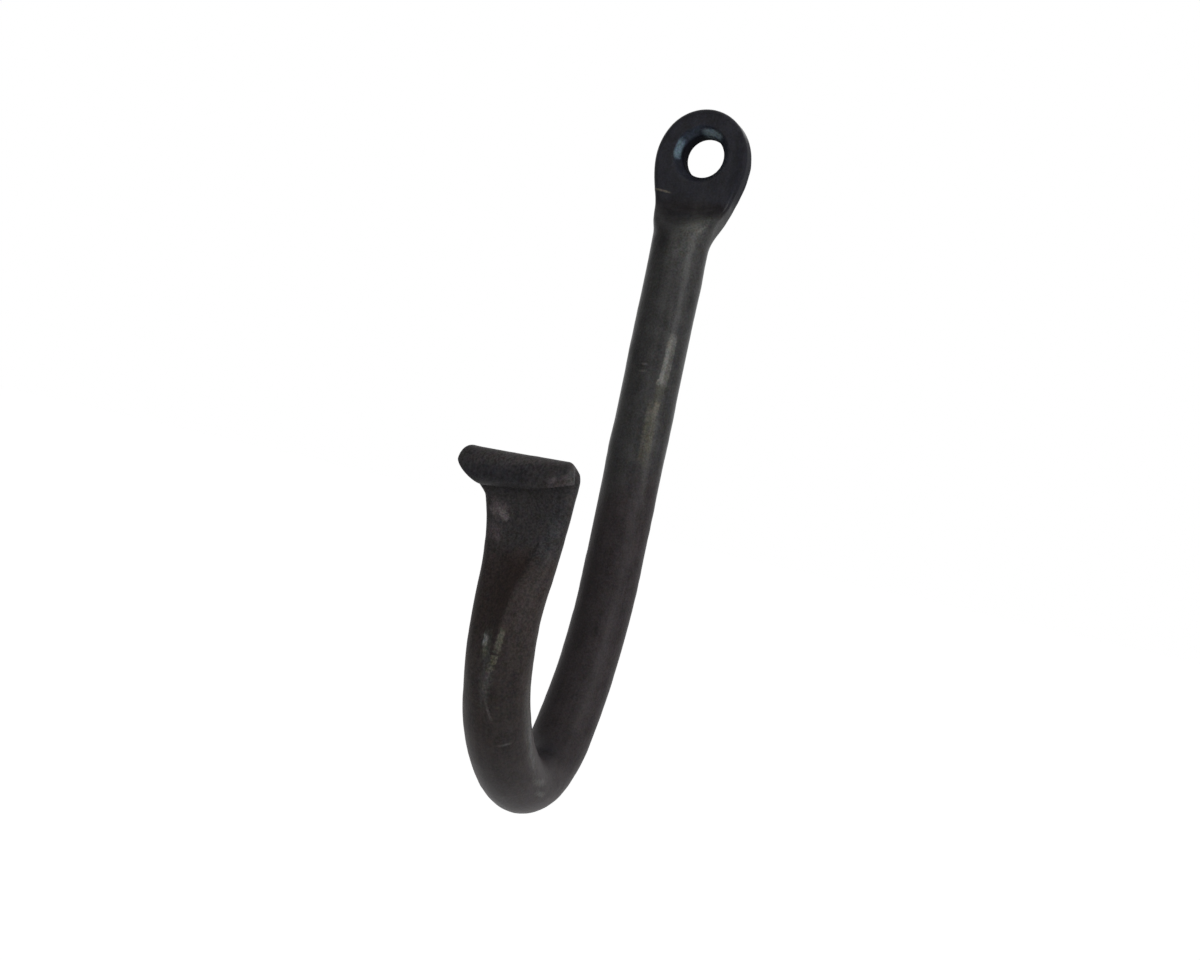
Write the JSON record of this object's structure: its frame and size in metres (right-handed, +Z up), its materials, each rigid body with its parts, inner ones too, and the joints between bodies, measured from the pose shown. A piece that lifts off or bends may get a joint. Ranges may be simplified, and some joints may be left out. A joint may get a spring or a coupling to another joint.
{
  "type": "forged wall hook",
  "caption": "Hand-forged round-bar wall hook with a flattened countersunk eye, an open J bend and a thinned, spread tail rolled forward into a lip.",
  "frame": {"origin": "on the screw hole's axis in the wall plane, which is the flat back of the eye", "axes": "+Z up along the shank, -Y out from the wall along the screw hole's axis, +X to the right of someone facing the wall"},
  "size_m": [0.0187, 0.0527, 0.1223],
  "materials": {
    "hook": "hammered black iron, oiled to a low satin"
  },
  "bodies": {
    "root": {"hook": "hook"}
  },
  "joints": []
}
